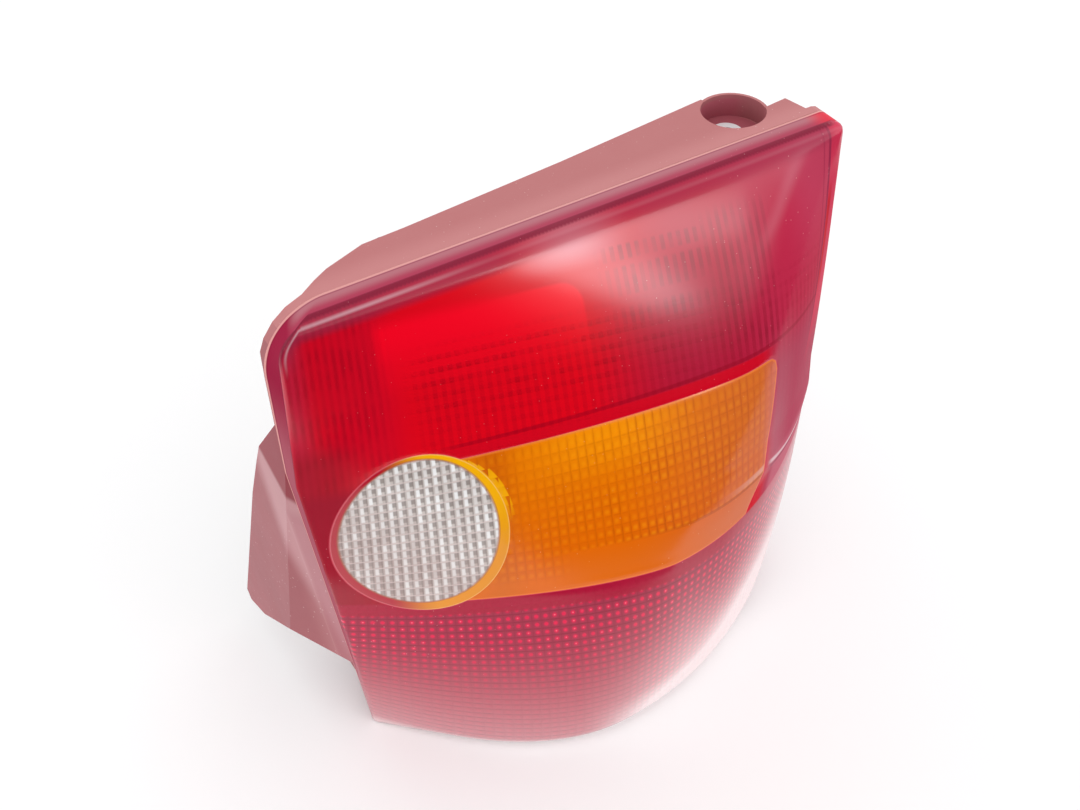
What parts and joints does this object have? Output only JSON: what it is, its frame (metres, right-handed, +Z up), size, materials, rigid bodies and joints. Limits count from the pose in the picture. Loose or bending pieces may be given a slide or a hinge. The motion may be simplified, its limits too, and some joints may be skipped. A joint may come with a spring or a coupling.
{
  "type": "tail light cluster",
  "caption": "Right-hand rear lamp: a deep crowned lens in red, amber and clear with pillow optics on a moulded housing with a top screw pocket, side wing, studs and a clip-in bulb carrier.",
  "frame": {"origin": "The centre of the upper face of the steel bush in the top screw pocket, on the axis of the fixing screw.", "axes": "+X runs outboard along the lamp's width, +Y into the car and +Z up, along the axis of the top fixing. The joint between lens and housing is a plane square to Y."},
  "size_m": [0.2619, 0.1559, 0.2598],
  "materials": {
    "red_lens": "gloss, see-through",
    "amber_lens": "gloss, see-through",
    "clear_lens": "gloss, see-through",
    "sealant": "satin",
    "housing_plastic": "satin, dusty",
    "steel": "zinc plated",
    "foam": "matt foam",
    "black_rubber": "matt",
    "silvered_plastic": "metallised, bright",
    "carrier_plastic": "satin",
    "brass": "stamped, bright",
    "bulb_glass": "clear glass on a metal base"
  },
  "bodies": {
    "root": {"lens_red": "red_lens", "lens_amber": "amber_lens", "lens_clear": "clear_lens", "seal_bead": "sealant", "housing": "housing_plastic", "top_bush": "steel", "mounting_studs": "steel", "body_gasket": "foam", "vent_cap": "black_rubber", "reflector": "silvered_plastic", "bulb_carrier": "carrier_plastic", "carrier_gasket": "black_rubber", "connector_pins": "brass", "earth_strip": "brass", "tail_strip": "brass", "stop_strip": "brass", "turn_strip": "brass", "reverse_strip": "brass", "fog_strip": "brass", "stop_tail_bulb": "bulb_glass", "turn_bulb": "bulb_glass", "reverse_bulb": "bulb_glass", "fog_bulb": "bulb_glass"}
  },
  "joints": []
}
